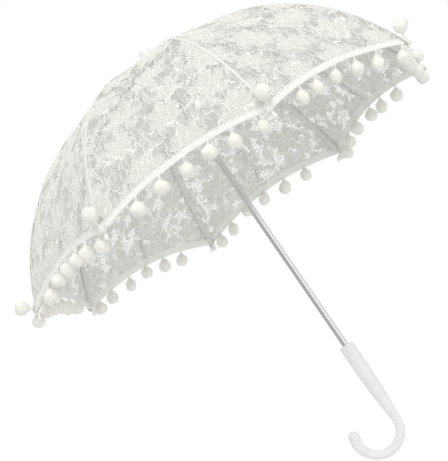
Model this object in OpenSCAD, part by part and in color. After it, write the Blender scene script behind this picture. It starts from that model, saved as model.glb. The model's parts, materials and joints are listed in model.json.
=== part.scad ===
// Lace parasol: a small eight-rib dome parasol on a thin steel shaft with a crook handle.
// The origin is the middle of the grip, on the shaft's axis. +Z runs up the shaft to the ferrule,
// and the crook curls towards -X. All sizes are in millimetres.

/* [Shaft] */
// Outside diameter of the steel shaft
shaft_d = 8; // [6:0.5:12]
// Wall of the shaft tube
shaft_wall = 0.6; // [0.4:0.1:1]
// Running clearance, radial, of the runner on the shaft
running_gap = 0.08; // [0.03:0.01:0.1]

/* [Canopy] */
// Radius of the circle through the rib tips, open
canopy_r = 280; // [230:5:350]
// Height of the rib tips above the middle of the grip
rim_height = 248; // [200:2:320]
// Height of the rib pivots above the rib tips
dome_height = 188; // [150:2:230]
// Radius at which the ribs begin to curve down
crown_flat = 25; // [22:1:32]
// Turn of the first rib about the shaft, from +X
rib_phase = 15; // [0:0.5:44]
// Thickness of the lace with its embroidery
lace_thickness = 1; // [0.6:0.1:1.6]
// Gap between the lace and the rib under it
lace_gap = 0.3; // [0.2:0.1:0.6]
// Gap between the canopies' panels where they meet
panel_gap = 0.4; // [0.2:0.1:0.8]
// Height of the hem's lower edge above the rib tips, at a rib
hem_corner = 9; // [7:0.5:14]
// Height of the hem's lower edge above the rib tips, midway between ribs
hem_middle = 25; // [16:0.5:40]

/* [Trim] */
// Width of the folded tape that binds the hem
tape_width = 9.5; // [6:0.5:14]
// How far the tape stands proud of the lace
tape_proud = 0.5; // [0.3:0.1:1]
// Diameter of a pompom
pompom_d = 16.5; // [12:0.5:20]
// Thread between the hem and a pompom
thread_length = 5; // [3:0.5:10]
// Diameter of that thread
thread_d = 1.2; // [0.8:0.1:2]
// Pompoms along one panel
pompoms_per_panel = 7; // [5:2:9]
// Shift of the hanging pompoms along the hem, as a share of half a panel's width
pompom_shift = 0.19; // [0:0.01:0.22]

/* [Ribs and stretchers] */
// Diameter of the rib wire
rib_d = 2.4; // [1.8:0.1:3]
// Radius of the circle that the ribs pivot on, and that the stretchers pivot on
pivot_r = 9.5; // [9:0.5:12]
// Length of a stretcher between its pivots
stretcher_length = 160; // [130:2:175]
// Diameter of the stretcher wire
stretcher_d = 2.2; // [1.8:0.1:2.6]
// Thickness of the flattened stretches of rib and stretcher
flat_thickness = 1.6; // [1.2:0.1:1.8]
// How far inside the rib's wire the stretcher's rivet sits
joint_inset = 1.8; // [1.6:0.1:2.4]
// Diameter of the rivets
rivet_d = 1.6; // [1.2:0.1:2]
// Diameter of the ring wires that hold ribs and stretchers
ring_d = 1; // [0.8:0.1:1.2]
// Diameter of the knob on a rib tip
tip_knob_d = 5.2; // [4:0.2:7]
// Turn of the ribs from open to folded
fold_angle = 52; // [45:0.5:54]

/* [Notch, runner and ferrule] */
// Radius of the top notch and of the runner's flange
notch_r = 12.5; // [12:0.5:15]
// Plastic above the ring wire
notch_above = 2.2; // [1.8:0.1:3]
// Plastic below the ring wire
notch_below = 4.5; // [4:0.1:7]
// Length of the runner's sleeve below its ring wire
runner_length = 32; // [28:1:40]
// Diameter of the ferrule cap
ferrule_d = 14.6; // [13:0.2:18]
// Height of the ferrule cap
ferrule_height = 21; // [17:1:30]

/* [Catches] */
// Turn of the catches about the shaft, midway between two ribs
catch_turn = 67.5; // [22.5:45:337.5]
// How far a catch's tooth stands out of the shaft
tooth_out = 2; // [1.6:0.1:2.2]
// Length of a catch from its pin to its tooth
catch_length = 21; // [18:1:24]
// Angle that a catch is pressed in by
press_angle = 7; // [6:0.5:8]

/* [Handle] */
// Height of the handle's top end above the middle of the grip
handle_top = 32; // [28:1:40]
// Length from the handle's top end to the middle of the crook
straight_length = 101.5; // [90:0.5:120]
// Diameter of the handle at its top end
collar_d = 17.2; // [14:0.2:18]
// Largest diameter of the grip
grip_d = 17.6; // [15:0.2:20]
// Diameter of the crook's rod
crook_d = 10.8; // [8.5:0.1:12]
// Diameter of the crook's rounded end
crook_end_d = 13.2; // [12:0.1:15]
// Radius of the crook, to the middle of its rod
crook_r = 27; // [24:0.5:34]
// Angle that the crook turns through
crook_sweep = 200; // [180:2:215]
// Part of that turn over which the crook thickens towards its end
swell_angle = 70; // [40:5:120]
// Depth that the shaft is glued into the handle
socket_depth = 34; // [25:1:45]

/* [Hidden] */
rib_count = 8;
step = 360 / rib_count;
half = step / 2;
glue_gap = 0.03;
press_gap = 0.06;

// Rib line: level from the pivot to crown_flat, then one arc down to the tips
pivot_z = rim_height + dome_height;
chord_angle = atan2(dome_height, canopy_r - crown_flat);
arc_angle = 2 * chord_angle;
arc_r = norm([dome_height, canopy_r - crown_flat]) / (2 * sin(chord_angle));
arc_z = pivot_z - arc_r;
degree = PI / 180;

// Rivet on the rib at the stretcher's length from the rib's pivot, found on the arc inside the rib
rivet_arc = arc_r - joint_inset;
level = crown_flat - pivot_r;
rivet_angle = atan2(arc_r, level) + asin(
    (stretcher_length ^ 2 - level ^ 2 - rivet_arc ^ 2 - arc_r ^ 2)
    / (2 * rivet_arc * norm([level, arc_r])));
rivet_x = crown_flat + rivet_arc * sin(rivet_angle);
rivet_z = arc_z + rivet_arc * cos(rivet_angle);
open_angle = atan2(pivot_z - rivet_z, rivet_x - pivot_r);

// Stretchers are as long as the rib's upper stretch, so the runner's wire lies as far below the
// rivets as the notch's wire lies above them
runner_z = 2 * rivet_z - pivot_z;
travel = 2 * stretcher_length * (sin(open_angle + fold_angle) - sin(open_angle));

eye_r = 2;
hub_r = pivot_r - eye_r - 0.3;
bore_r = shaft_d / 2 - shaft_wall;
slot_w = flat_thickness + 0.4;
wire_groove = ring_d + 0.2;
eye_reach = 7;                      // flattened stretch of a rib beyond its pivot
joint_reach = 6;                    // flattened stretch of a rib each way from its rivet
tip_length = (hem_corner - 0.9) / sin(arc_angle);   // the tips begin just below the hem
tip_overlap = tip_length - tip_knob_d / 2 - 1;      // rib wire inside its tip
wire_end = arc_angle - (tip_length - tip_overlap) / arc_r / degree;

// Lace lies on the ribs, and is lifted over the notch at the crown
lace_start = notch_r + 0.4;
crown_lift = notch_above + 0.1 - rib_d / 2 - lace_gap;
patch_z = pivot_z + rib_d / 2 + lace_gap + crown_lift + lace_thickness + 0.3;
patch_r = crown_flat - 2;
shaft_top = patch_z + ferrule_height * 0.7;

// Catches
catch_az = rib_phase + catch_turn;
tooth_r = shaft_d / 2 + tooth_out;
tooth_h = 6;
lip_h = 5;
sleeve_end = runner_z - runner_length;
catch_play = 0.45;                  // of the runner against a catch, which lets its tooth swing in
top_tooth_z = sleeve_end - catch_play;
bottom_tooth_z = sleeve_end + lip_h - travel + catch_play;
catch_t = 1.6;
catch_pivot_r = bore_r - 1.4;
pin_d = 1;
pin_length = 2 * sqrt((shaft_d / 2) ^ 2 - (catch_pivot_r + pin_d / 2) ^ 2) - 0.2;
top_pin_z = top_tooth_z - catch_length;
bottom_pin_z = bottom_tooth_z + catch_length;
stop_d = 1.6;
stop_z = runner_z + notch_above + 0.2 + stop_d / 2;

crook_z = handle_top - straight_length;
grip_rows = 40;
swell_steps = 10;

// ---------- shared forms ----------

// Draws a flat shape, given in x and z, as a plate of thickness t across the radial plane
module upright(t) rotate([90, 0, 0]) linear_extrude(t, center = true) children();

// Turns a part made along +X to rib i
module at_rib(i) rotate([0, 0, rib_phase + (i - 1) * step]) children();

// A stretch of the rib's arc, between two angles from the crown, with the section given in r and y
module along_arc(from, to)
    translate([crown_flat, 0, arc_z]) rotate([90, 0, 0])
        rotate_extrude(angle = to - from, start = 90 - to, $fn = 96) children();

// Point of the lace's meridian s along the rib from where it curves, standing g off the rib's line
function meridian(s, g) = s < 0
    ? [crown_flat + s, pivot_z + g + crown_lift * (s / (lace_start - crown_flat)) ^ 2]
    : [crown_flat + (arc_r + g) * sin(s / arc_r / degree), arc_z + (arc_r + g) * cos(s / arc_r / degree)];

// How far along the rib a meridian standing g off it comes down to height z
function reach(z, g) = arc_r * degree * acos((z - arc_z) / (arc_r + g));

// Height of the hem's lower edge, with u from -1 to 1 across the two half panels beside a rib
function hem_z(u) = rim_height + hem_middle - (hem_middle - hem_corner) * (1 - abs(u)) ^ 2;

// A point of the cloth beside a rib: the panels are stretched straight from rib to rib
function cloth(s, g, u) =
    let (m = meridian(s, g), v = abs(u) - panel_gap / 2 / (m[0] * sin(half)) * (abs(u) == 1 ? 1 : 0))
    [m[0] * (1 - v / 2 + v / 2 * cos(step)), sign(u) * m[0] * v / 2 * sin(step), m[1]];

// Closed shell between two grids of points, with the outer grid's rows running down the rib
module shell(outer, inner) {
    rows = len(outer);
    cols = len(outer[0]);
    n = rows * cols;
    points = concat([for (row = outer) each row], [for (row = inner) each row]);
    function quad(a, b, c, d) = [[a, c, b], [a, d, c]];
    top = [for (i = [0:rows - 2]) for (j = [0:cols - 2])
        each quad(i * cols + j, (i + 1) * cols + j, (i + 1) * cols + j + 1, i * cols + j + 1)];
    bottom = [for (t = top) [t[2] + n, t[1] + n, t[0] + n]];
    ends = [for (j = [0:cols - 2]) each concat(
        quad(j, j + 1, n + j + 1, n + j),
        quad(n + (rows - 1) * cols + j, n + (rows - 1) * cols + j + 1,
             (rows - 1) * cols + j + 1, (rows - 1) * cols + j))];
    sides = [for (i = [0:rows - 2]) each concat(
        quad(i * cols, n + i * cols, n + (i + 1) * cols, (i + 1) * cols),
        quad(i * cols + cols - 1, (i + 1) * cols + cols - 1,
             n + (i + 1) * cols + cols - 1, n + i * cols + cols - 1))];
    polyhedron(points, concat(top, bottom, ends, sides));
}

// Slotted disc that a ring wire lies in, with its wire at height 0
module slotted_disc() {
    difference() {
        translate([0, 0, -notch_below]) cylinder(r = notch_r, h = notch_below + notch_above, $fn = 96);
        difference() {
            translate([0, 0, -wire_groove / 2]) cylinder(r = notch_r + 1, h = wire_groove, $fn = 96);
            cylinder(r = pivot_r - wire_groove / 2, h = 3 * wire_groove, center = true, $fn = 96);
        }
        for (i = [1:rib_count]) at_rib(i)
            translate([hub_r, -slot_w / 2, -notch_below - 1])
                cube([notch_r, slot_w, notch_below + notch_above + 2]);
    }
}

// Ring of wire through the eyes of the ribs or stretchers
module ring_wire() rotate_extrude($fn = 96) translate([pivot_r, 0]) circle(d = ring_d, $fn = 24);

// Bore for the shaft, from height a to height b, with a radial gap
module shaft_bore(a, b, gap) translate([0, 0, a]) cylinder(r = shaft_d / 2 + gap, h = b - a, $fn = 64);

// ---------- shaft and what is fixed to it ----------

module shaft_tube() color("silver") difference() {
    bottom = handle_top - socket_depth;
    translate([0, 0, bottom]) cylinder(d = shaft_d, h = shaft_top - bottom, $fn = 64);
    translate([0, 0, bottom - 1]) cylinder(r = bore_r, h = shaft_top - bottom + 2, $fn = 64);
    // slots that the catches' teeth come out of
    for (c = [[top_tooth_z, 0], [bottom_tooth_z, 1]])
        translate([0, 0, c[0]]) rotate([0, 0, catch_az]) mirror([0, 0, c[1]])
            translate([0, -catch_t / 2 - 0.2, -tooth_h - 3]) cube([shaft_d, catch_t + 0.4, tooth_h + 4]);
    // cross holes for the catch pins and the stop pin
    for (z = [top_pin_z, bottom_pin_z]) catch_frame(z) rotate([90, 0, 0])
        cylinder(d = pin_d + 2 * glue_gap, h = shaft_d + 2, center = true, $fn = 24);
    stop_frame() cylinder(d = stop_d + 2 * glue_gap, h = shaft_d + 2, center = true, $fn = 24);
}

module ferrule_cap() color("white") difference() {
    base = patch_z + lace_thickness + 0.1;
    dome = ferrule_d * 0.42;
    translate([0, 0, base]) rotate_extrude($fn = 96) {
        polygon(concat([[0, 0], [ferrule_d / 2 + 0.8, 0], [ferrule_d / 2 + 0.8, 1.2], [ferrule_d / 2, 2]],
            [for (a = [0:10:90]) [ferrule_d / 2 * cos(a), ferrule_height - dome + dome * sin(a)]]));
    }
    shaft_bore(base - 1, shaft_top + 0.5, glue_gap);
}

// Round patch of lace over the points of the eight panels, held under the ferrule cap
module crown_patch() color("ivory") difference() {
    translate([0, 0, patch_z]) cylinder(r = patch_r, h = lace_thickness, $fn = 96);
    shaft_bore(pivot_z, pivot_z + 20, 0.2);
}

// The ribs' notch, with a boss up through the lace that the patch and the ferrule cap sit on
module top_notch() color("white") difference() {
    union() {
        translate([0, 0, pivot_z]) slotted_disc();
        translate([0, 0, pivot_z]) cylinder(r = hub_r, h = patch_z - pivot_z - 0.1, $fn = 96);
    }
    shaft_bore(pivot_z - 20, pivot_z + 20, glue_gap);
}

module top_notch_wire() color("dimgray") translate([0, 0, pivot_z]) ring_wire();

module stop_frame() translate([0, 0, stop_z]) rotate([0, 0, catch_az + 90]) rotate([0, 90, 0]) children();

// Cross pin that the open runner comes up against
module runner_stop() color("silver") stop_frame()
    cylinder(d = stop_d, h = shaft_d + 4, center = true, $fn = 24);

// ---------- runner ----------

module runner() color("white") translate([0, 0, runner_z]) difference() {
    union() {
        slotted_disc();
        translate([0, 0, -runner_length]) rotate_extrude($fn = 96)
            polygon([[0, 0], [hub_r - 0.6, 0], [hub_r, 0.6], [hub_r, runner_length], [0, runner_length]]);
    }
    shaft_bore(-runner_length - 1, 20, running_gap);
    // keyway that a tooth stands in, closed by the lip at the sleeve's lower end
    rotate([0, 0, catch_az]) translate([0, -catch_t / 2 - 0.3, -runner_length + lip_h])
        cube([tooth_r + 0.3, catch_t + 0.6, runner_length + 10]);
}

module runner_wire() color("dimgray") translate([0, 0, runner_z]) ring_wire();

// ---------- catches ----------

module catch_frame(z)
    translate([0, 0, z]) rotate([0, 0, catch_az]) translate([catch_pivot_r, 0, 0]) children();

// Flat lever on its pin, with its tooth up: level on top to hold, sloped below to be pushed past
module catch_lever() upright(catch_t) difference() {
    back = -1.1;
    front = bore_r - catch_pivot_r - 0.3;
    tip = tooth_r - catch_pivot_r;
    union() {
        circle(r = 1.3, $fn = 32);
        polygon([[back, 0], [front, 0], [front, catch_length - tooth_h], [tip, catch_length - 2],
            [tip, catch_length], [back, catch_length]]);
    }
    circle(d = pin_d + 2 * press_gap, $fn = 24);
}

module top_catch() color("silver") catch_frame(top_pin_z) catch_lever();

module bottom_catch() color("silver") catch_frame(bottom_pin_z) mirror([0, 0, 1]) catch_lever();

// Two cross pins that the catches turn on
module catch_pins() color("dimgray") for (z = [top_pin_z, bottom_pin_z])
    catch_frame(z) rotate([90, 0, 0]) cylinder(d = pin_d, h = pin_length, center = true, $fn = 24);

// ---------- ribs ----------

module rib(i) color("gainsboro") at_rib(i) difference() {
    rivet_half = joint_reach / arc_r / degree;
    union() {
        translate([0, 0, pivot_z]) upright(flat_thickness) {
            translate([pivot_r, 0]) circle(r = eye_r, $fn = 32);
            translate([pivot_r, -rib_d / 2]) square([eye_reach, rib_d]);
        }
        translate([pivot_r + eye_reach - 0.5, 0, pivot_z]) rotate([0, 90, 0])
            cylinder(d = rib_d, h = crown_flat - pivot_r - eye_reach + 0.5, $fn = 32);
        along_arc(0, rivet_angle - rivet_half + 0.1) translate([arc_r, 0]) circle(d = rib_d, $fn = 32);
        along_arc(rivet_angle - rivet_half, rivet_angle + rivet_half)
            translate([arc_r - joint_inset - 0.8, -flat_thickness / 2])
                square([joint_inset + 0.8 + rib_d / 2, flat_thickness]);
        along_arc(rivet_angle + rivet_half - 0.1, wire_end) translate([arc_r, 0]) circle(d = rib_d, $fn = 32);
        translate([rivet_x, 0, rivet_z]) upright(flat_thickness) circle(r = 2.5, $fn = 32);
    }
    translate([pivot_r, 0, pivot_z]) upright(9) circle(d = ring_d + 2 * 0.09, $fn = 24);
    translate([rivet_x, 0, rivet_z]) upright(9) circle(d = rivet_d + 2 * glue_gap, $fn = 24);
}

// Cap over the rib's end, with a knob that the canopy's corner is sewn behind
module rib_tip(i) color("white") at_rib(i)
    translate([crown_flat, 0, arc_z]) rotate([0, wire_end, 0]) translate([0, 0, arc_r]) rotate([0, 90, 0])
    translate([0, 0, -tip_overlap]) difference() {
        union() {
            cylinder(d = rib_d + 1.4, h = tip_length - tip_knob_d / 2, $fn = 32);
            translate([0, 0, tip_length - tip_knob_d / 2]) sphere(d = tip_knob_d, $fn = 32);
        }
        translate([0, 0, -1]) cylinder(d = rib_d + 0.3, h = tip_overlap + 1.2, $fn = 32);
    }

fork_half = flat_thickness / 2 + 0.85;

// Rivet through a rib and the fork of its stretcher
module rib_rivet(i) color("silver") at_rib(i) translate([rivet_x, 0, rivet_z]) rotate([90, 0, 0]) {
    cylinder(d = rivet_d, h = 2 * fork_half + 0.2, center = true, $fn = 32);
    for (side = [0, 1]) mirror([0, 0, side]) translate([0, 0, fork_half + 0.05])
        cylinder(d = rivet_d + 1.4, h = 0.5, $fn = 32);
}

// ---------- stretchers ----------

// Drawn along +X from the ring wire to the rivet, then laid up at the open angle
module stretcher(i) color("gainsboro")
    at_rib(i) translate([pivot_r, 0, runner_z]) rotate([0, -open_angle, 0]) {
    closed_up = 90 - open_angle - fold_angle;
    open_up = 90 - open_angle;
    rod_from = 8;
    fork_from = 12;
    mouth = ring_d / 2 + 0.12;
    difference() {
        union() {
            // hook under the ring wire: its mouth faces up at every angle of the stretcher
            upright(flat_thickness) {
                circle(r = eye_r, $fn = 32);
                polygon([[0, -eye_r], [rod_from + 1, -stretcher_d / 2], [rod_from + 1, stretcher_d / 2],
                    [5.5, stretcher_d / 2], [3, 0.3], [0, -mouth]]);
            }
            translate([rod_from, 0, 0]) rotate([0, 90, 0])
                cylinder(d = stretcher_d, h = stretcher_length - rod_from - fork_from + 1, $fn = 32);
            upright(2 * fork_half) {
                translate([stretcher_length, 0]) circle(r = 2.1, $fn = 32);
                polygon([[stretcher_length - fork_from, -stretcher_d / 2], [stretcher_length, -2.1],
                    [stretcher_length, 2.1], [stretcher_length - fork_from, stretcher_d / 2]]);
            }
        }
        upright(9) {
            circle(r = mouth, $fn = 24);
            polygon([
                mouth * [cos(open_up + 90), sin(open_up + 90)],
                9 * [cos(open_up + 2), sin(open_up + 2)] + mouth * [cos(open_up + 90), sin(open_up + 90)],
                9 * [cos(closed_up), sin(closed_up)] + mouth * [cos(closed_up - 90), sin(closed_up - 90)],
                mouth * [cos(closed_up - 90), sin(closed_up - 90)]]);
        }
        translate([stretcher_length, 0, 0]) {
            translate([-8, -flat_thickness / 2 - 0.15, -5]) cube([14, flat_thickness + 0.3, 10]);
            upright(9) circle(d = rivet_d + 2 * press_gap, $fn = 24);
        }
    }
}

// ---------- canopy ----------

lace_low = rib_d / 2 + lace_gap;
lace_high = lace_low + lace_thickness;
across = [-1, -0.66, -0.33, 0, 0.33, 0.66, 1];
down = 24;

// Grid of points over one rib's share of the dome, standing g off the ribs' line
function lace_rows(g) = [for (k = [0:down]) [for (u = across)
    let (start = lace_start - crown_flat, end = reach(hem_z(u) + tape_width, g))
    cloth(k == 1 ? 0 : start + (end - start) * k / down, g, u)]];

// One rib's share of the lace dome: the halves of the two panels that are sewn along the rib
module canopy_panel(i) color("ivory") at_rib(i) shell(lace_rows(lace_high), lace_rows(lace_low));

// Row of points along the hem, at the tape's lower or upper edge
function hem_row(g, up) = [for (u = across) cloth(reach(hem_z(u) + up, g), g, u)];

// Place of pompom k along a half panel's hem, with 0 at the rib
function pompom_u(k) = k == 0 ? 0 : 2 * k / pompoms_per_panel + pompom_shift;

// Round pompom hanging on its thread, with the thread's top end at the origin
module pompom(thread) translate([0, 0, -thread - pompom_d / 2]) rotate_extrude($fn = 48) {
    intersection() {
        circle(d = pompom_d, $fn = 48);
        translate([0, -pompom_d / 2]) square(pompom_d);
    }
    square([thread_d / 2, thread + pompom_d / 2]);
}

// Folded tape on the hem beside one rib, and its pompoms on their threads. The one at the rib
// is sewn to the outside of the tape, and lies back on the lace above it.
module pompom_trim(i) color("oldlace") at_rib(i) {
    shell([for (up = [tape_width - 0.3, 0]) hem_row(lace_high + tape_proud, up)],
          [for (up = [tape_width - 0.3, 0]) hem_row(lace_low - 0.1, up)]);
    most = (pompoms_per_panel - 1) / 2;
    sewn = (lace_low + lace_high) / 2;
    for (k = [-most - 1:most - 1]) {
        u = pompom_u(k);
        up = k == 0 ? tape_width / 2 : 1;
        translate(cloth(reach(hem_z(u) + up, sewn), sewn, u))
            rotate([0, k == 0 ? -152 : 0, 0]) pompom(thread_length + (k == 0 ? 0 : 1));
    }
}

// ---------- handle ----------

// Radius of the handle at a share t of the way from its top end down to the crook
function grip_r(t) = let (swell = 0.12, neck = crook_d / 2) t < swell
    ? collar_d / 2 + (grip_d - collar_d) / 2 * sin(90 * t / swell)
    : neck + (grip_d / 2 - neck) * (1 + cos(180 * ((t - swell) / (1 - swell)) ^ 2.1)) / 2;

// Straight grip that swells below its collar, then a crook that thickens to its rounded end
module handle() color("whitesmoke") difference() {
    neck = crook_d / 2;
    union() {
        translate([0, 0, handle_top]) mirror([0, 0, 1]) rotate_extrude($fn = 96)
            polygon(concat([[0, 0], [collar_d / 2 - 1, 0]],
                [for (k = [0:grip_rows]) let (t = max(k, 0.3) / grip_rows) [grip_r(t), t * straight_length]],
                [[0, straight_length]]));
        translate([-crook_r, 0, crook_z]) rotate([90, 0, 0]) {
            rotate_extrude(angle = crook_sweep, start = -crook_sweep, $fn = 96)
                translate([crook_r, 0]) circle(r = neck, $fn = 48);
            for (k = [1:swell_steps]) let (turn = swell_angle * (1 - k / swell_steps) + 1)
                rotate_extrude(angle = turn, start = -crook_sweep, $fn = 96)
                    translate([crook_r, 0]) circle(r = neck + (crook_end_d / 2 - neck) * k / swell_steps, $fn = 48);
            rotate([0, 0, -crook_sweep]) translate([crook_r, 0, 0]) sphere(d = crook_end_d, $fn = 48);
        }
    }
    shaft_bore(handle_top - socket_depth, handle_top + 1, glue_gap);
}

// ---------- drawing ----------

shaft_tube();
ferrule_cap();
crown_patch();
top_notch();
top_notch_wire();
runner();
runner_wire();
runner_stop();
top_catch();
bottom_catch();
catch_pins();
handle();
for (i = [1:rib_count]) {
    rib(i);
    rib_tip(i);
    rib_rivet(i);
    stretcher(i);
    canopy_panel(i);
    pompom_trim(i);
}
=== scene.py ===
# Lace parasol: the looks of a small white parasol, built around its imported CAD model.
# The parts follow in the order in which such a parasol is put together.
import json
import math
import random

import bpy
import numpy as np
from mathutils import Matrix, Vector


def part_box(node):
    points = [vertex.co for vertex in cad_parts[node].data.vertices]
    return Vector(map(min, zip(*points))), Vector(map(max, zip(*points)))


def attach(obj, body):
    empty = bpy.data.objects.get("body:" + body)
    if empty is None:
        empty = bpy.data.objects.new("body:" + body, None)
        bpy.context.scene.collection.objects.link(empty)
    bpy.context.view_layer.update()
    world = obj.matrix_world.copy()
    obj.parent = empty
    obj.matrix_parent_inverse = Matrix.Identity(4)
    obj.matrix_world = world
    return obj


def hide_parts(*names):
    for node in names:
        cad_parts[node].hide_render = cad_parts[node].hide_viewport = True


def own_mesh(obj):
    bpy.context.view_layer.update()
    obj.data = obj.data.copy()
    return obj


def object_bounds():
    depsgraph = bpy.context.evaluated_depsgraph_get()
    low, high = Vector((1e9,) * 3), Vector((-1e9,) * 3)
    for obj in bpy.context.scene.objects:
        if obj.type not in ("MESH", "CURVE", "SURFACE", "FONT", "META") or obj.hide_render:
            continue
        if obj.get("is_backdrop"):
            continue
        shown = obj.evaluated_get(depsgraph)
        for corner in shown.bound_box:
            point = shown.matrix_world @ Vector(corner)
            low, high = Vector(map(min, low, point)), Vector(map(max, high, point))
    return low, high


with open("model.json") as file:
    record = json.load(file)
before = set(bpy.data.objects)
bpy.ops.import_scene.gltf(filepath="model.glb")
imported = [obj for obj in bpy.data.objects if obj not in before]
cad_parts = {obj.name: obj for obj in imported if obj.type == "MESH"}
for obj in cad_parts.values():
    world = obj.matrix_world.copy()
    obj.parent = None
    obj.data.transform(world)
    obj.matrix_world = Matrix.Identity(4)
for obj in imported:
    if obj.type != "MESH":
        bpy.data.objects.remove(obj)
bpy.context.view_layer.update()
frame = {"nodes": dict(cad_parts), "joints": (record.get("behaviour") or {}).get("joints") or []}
nodes = frame["nodes"]
joints = {joint["name"]: joint for joint in frame["joints"]}

# ---- Camera: a long lens below the hem that looks up into the dome.
# It is rolled, so that the shaft leans across the view.
camera_place = Vector((0.0, -1.7700, -0.0390))
camera_aim = Vector((-0.0418, 0.0, 0.2238))
view_back = (camera_place - camera_aim).normalized()
view_up = Vector((0.5667, -0.1071, 0.8169))
view_right = view_up.cross(view_back).normalized()
view_up = view_back.cross(view_right)
turn = Matrix.Identity(3)
for column, axis in enumerate((view_right, view_up, view_back)):
    turn.col[column] = axis
camera_data = bpy.data.cameras.new("camera")
camera_data.sensor_fit = "HORIZONTAL"
camera_data.sensor_width = 36.0
camera_data.lens = 121.97
camera_data.clip_end = 50.0
camera = bpy.data.objects.new("camera", camera_data)
camera.matrix_world = Matrix.Translation(camera_place) @ turn.to_4x4()
bpy.context.scene.collection.objects.link(camera)
bpy.context.scene.camera = camera


# ---- Shaft: a thin steel tube, drawn and chromed, with lengthwise draw lines under the plating.
# It runs from the ferrule into the handle, and everything else is pinned to it or slides on it.
def maths(operation, swapped=False):
    """A method that adds a Math node of one kind."""
    def method(self, *others):
        values = (*others, self) if swapped else (self, *others)
        return self.recipe.node("ShaderNodeMath", enumerate(values), operation=operation)[0]
    return method


class Wire:
    """A node socket that adds Math nodes when it is used in an expression."""

    __add__ = __radd__ = maths("ADD")
    __mul__ = __rmul__ = maths("MULTIPLY")
    __sub__, __rsub__, __truediv__ = maths("SUBTRACT"), maths("SUBTRACT", swapped=True), maths("DIVIDE")
    larger, smaller, size = maths("MAXIMUM"), maths("MINIMUM"), maths("ABSOLUTE")

    def __init__(self, recipe, socket):
        self.recipe, self.socket = recipe, socket

    def between(self, low, high):
        """0 below low and 1 above high, or the other way round where low is above high."""
        ends = {"From Min": min(low, high), "From Max": max(low, high),
                "To Min": float(low > high), "To Max": float(low <= high)}
        return self.recipe.node("ShaderNodeMapRange", {"Value": self, **ends},
                                interpolation_type="SMOOTHSTEP")[0]


class Recipe:
    """A node tree whose nodes are added by name."""

    def __init__(self, tree):
        self.tree = tree
        self.tree.nodes.clear()

    def _set(self, node, values):
        for key, value in values.items():
            socket = node.inputs[key]
            for each in value if isinstance(value, list) else [value]:
                if isinstance(each, Wire):
                    self.tree.links.new(each.socket, socket)
                elif socket.type == "RGBA" and len(each) == 3:
                    socket.default_value = (*each, 1.0)
                else:
                    socket.default_value = each

    def node(self, kind, values=(), **settings):
        """Adds a node, sets its own settings first and then its sockets, and returns its outputs."""
        made = self.tree.nodes.new(kind)
        for key, value in settings.items():
            setattr(made, key, value)
        self._set(made, dict(values))
        return [Wire(self, socket) for socket in made.outputs]

    def mix(self, amount, first, second):
        """Colour between first and second."""
        return self.node("ShaderNodeMix", {0: amount, 6: first, 7: second}, data_type="RGBA")[2]

    def vector(self, operation, *values):
        return self.node("ShaderNodeVectorMath", enumerate(values), operation=operation)[0]

    def blend(self, amount, first, second):
        """Shader between first and second."""
        return self.node("ShaderNodeMixShader", {0: amount, 1: first, 2: second})[0]


class Finish(Recipe):
    """A material that ends in one Principled shader."""

    def __init__(self, name, **constants):
        self.material = bpy.data.materials.new(name)
        self.material.use_nodes = True
        super().__init__(self.material.node_tree)
        self.shader = self.tree.nodes.new("ShaderNodeBsdfPrincipled")
        self.output = self.tree.nodes.new("ShaderNodeOutputMaterial")
        self.tree.links.new(self.shader.outputs[0], self.output.inputs["Surface"])
        self.feed(**constants)

    def feed(self, **values):
        self._set(self.shader, {key.replace("_", " "): value for key, value in values.items()})

    def let_through(self, share, tint):
        """Mixes in light that passes through thin cloth from behind."""
        glow = self.node("ShaderNodeBsdfTranslucent", {"Color": tint})[0]
        self.show(self.blend(share, Wire(self, self.shader.outputs[0]), glow))

    def show(self, shader):
        self.tree.links.new(shader.socket, self.output.inputs["Surface"])

    def speckle(self, scale, detail=2.0, rough=0.5, stretch=None, on=None):
        """Noise over the object's own coordinates, or over others."""
        on = on or self.place()
        return self.node("ShaderNodeTexNoise", {
            "Vector": self.stretched(on, stretch) if stretch else on,
            "Scale": scale, "Detail": detail, "Roughness": rough})[0]

    def stretched(self, coordinates, scale):
        return self.node("ShaderNodeMapping", {"Vector": coordinates, "Scale": scale})[0]

    def place(self):
        """The object's own coordinates."""
        return self.node("ShaderNodeTexCoord")[3]

    def relief(self, height, strength, distance, **more):
        return self.node("ShaderNodeBump", {
            "Height": height, "Strength": strength, "Distance": distance, **more})[0]


def dress(names, finish):
    """Gives CAD nodes a finish in place of their plain one."""
    for name in names:
        slots = nodes[name].material_slots
        if not len(slots):
            nodes[name].data.materials.append(finish.material)
        for each in slots:
            each.material = finish.material


chrome = Finish("chromed_tube", Metallic=1.0, IOR=2.5)
draw_lines = chrome.speckle(2600.0, 3.0, stretch=(1.0, 1.0, 0.02))
smears = chrome.speckle(45.0, 3.0, 0.6)
chrome.feed(Base_Color=chrome.mix(smears, (0.80, 0.81, 0.83), (0.90, 0.90, 0.91)),
            Roughness=draw_lines * 0.10 + smears * 0.08 + 0.06,
            Normal=chrome.relief(draw_lines, 0.12, 0.00005))
dress(["shaft_tube"], chrome)

# ---- Handle: one moulding of glossy pearl-white plastic, a swelling grip drawn into a crook.
# It is glued over the tube's lower end, and has the faint haze and orange peel of moulded plastic.
pearl = Finish("pearl_plastic", Specular_IOR_Level=0.4, Coat_Weight=0.12, Coat_Roughness=0.2)
cloud = pearl.speckle(38.0, 3.0, 0.55)
peel = pearl.speckle(420.0)
handling = pearl.speckle(160.0, 4.0, 0.65, stretch=(1.0, 1.0, 0.35))
pearl.feed(Base_Color=pearl.mix(cloud, (0.828, 0.834, 0.832), (0.882, 0.887, 0.885)),
           Roughness=handling.between(0.35, 0.75) * 0.12 + 0.30,
           Normal=pearl.relief(peel, 0.03, 0.00006))


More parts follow.
